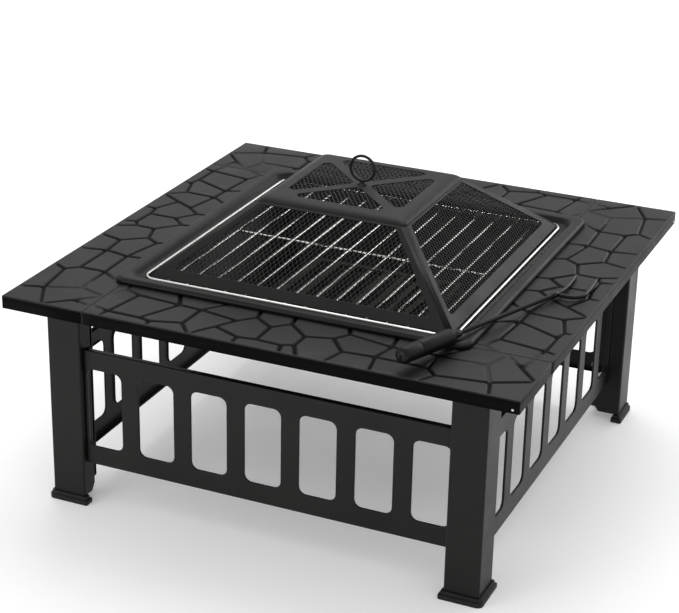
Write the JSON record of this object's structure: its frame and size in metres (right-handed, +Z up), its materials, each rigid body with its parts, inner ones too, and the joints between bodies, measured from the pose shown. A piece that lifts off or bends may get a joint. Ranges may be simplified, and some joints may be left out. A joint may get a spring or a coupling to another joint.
{
  "type": "fire pit with grate",
  "caption": "Square steel fire pit table with slotted side panels, a stone-pattern tabletop, a lift-out bowl, log grate, cooking grid, mesh lid and poker.",
  "frame": {"origin": "centre of the footprint on the ground, under the middle of the tabletop", "axes": "+Z up; -Y the front long side; +X to the right seen from the front"},
  "size_m": [0.8124, 0.8124, 0.5162],
  "materials": {
    "black_coat": "satin black powder coat",
    "tabletop_coat": "satin charcoal powder coat over embossed sheet",
    "bowl_enamel": "satin black heat-resistant paint",
    "grate_iron": "matt black, heat-dulled",
    "grid_chrome": "bright chrome plate",
    "lid_coat": "satin black heat-resistant paint",
    "mesh_coat": "black-painted expanded steel mesh",
    "poker_coat": "gloss black paint",
    "grip_plastic": "black moulded grip",
    "foot_plastic": "black moulded foot cap",
    "zinc_steel": "zinc-plated fastener",
    "bright_rivet": "bright rivet head"
  },
  "bodies": {
    "stand": {"leg_front_left": "black_coat", "foot_front_left": "foot_plastic", "leg_plate_front_left": "black_coat", "seam_strip_front_left": "black_coat", "leg_front_right": "black_coat", "foot_front_right": "foot_plastic", "leg_plate_front_right": "black_coat", "seam_strip_front_right": "black_coat", "leg_back_right": "black_coat", "foot_back_right": "foot_plastic", "leg_plate_back_right": "black_coat", "seam_strip_back_right": "black_coat", "leg_back_left": "black_coat", "foot_back_left": "foot_plastic", "leg_plate_back_left": "black_coat", "seam_strip_back_left": "black_coat", "side_panel_front": "black_coat", "tabletop_front": "tabletop_coat", "side_panel_right": "black_coat", "tabletop_right": "tabletop_coat", "side_panel_back": "black_coat", "tabletop_back": "tabletop_coat", "side_panel_left": "black_coat", "tabletop_left": "tabletop_coat", "panel_bolts": "zinc_steel", "panel_nuts": "zinc_steel", "leg_studs": "zinc_steel", "leg_nuts": "zinc_steel", "seam_studs": "zinc_steel", "seam_nuts": "zinc_steel", "corner_rivets": "bright_rivet"},
    "lid": {"lid_side_front": "lid_coat", "lid_mesh_front": "mesh_coat", "lid_side_right": "lid_coat", "lid_mesh_right": "mesh_coat", "lid_side_back": "lid_coat", "lid_mesh_back": "mesh_coat", "lid_side_left": "lid_coat", "lid_mesh_left": "mesh_coat", "lid_top": "lid_coat", "lid_top_mesh": "mesh_coat", "handle_base": "lid_coat", "handle_ring": "lid_coat", "handle_screw": "zinc_steel", "handle_nut": "zinc_steel"},
    "bowl": {"bowl": "bowl_enamel"},
    "log_grate": {"log_grate_frame": "grate_iron", "log_grate_bars": "grate_iron", "log_grate_feet": "grate_iron"},
    "cooking_grid": {"grid_rim": "grid_chrome", "grid_rods": "grid_chrome", "grid_crossbar": "grid_chrome"},
    "poker": {"poker_shaft": "poker_coat", "poker_fork": "poker_coat", "poker_ferrule": "poker_coat", "poker_grip": "grip_plastic", "poker_end_cap": "grip_plastic"}
  },
  "joints": [
    {"name": "bowl_lift", "type": "slide", "parent": "stand", "child": "bowl", "axis": [0, 0, 1], "range_m": [0, 0.25]},
    {"name": "log_grate_lift", "type": "slide", "parent": "bowl", "child": "log_grate", "axis": [0, 0, 1], "range_m": [0, 0.2]},
    {"name": "grid_lift", "type": "slide", "parent": "log_grate", "child": "cooking_grid", "axis": [0, 0, 1], "range_m": [0, 0.2]},
    {"name": "lid_lift", "type": "slide", "parent": "cooking_grid", "child": "lid", "axis": [0, 0, 1], "range_m": [0, 0.25]},
    {"name": "poker_lift", "type": "slide", "parent": "bowl", "child": "poker", "axis": [0, 0, 1], "range_m": [0, 0.25]}
  ]
}
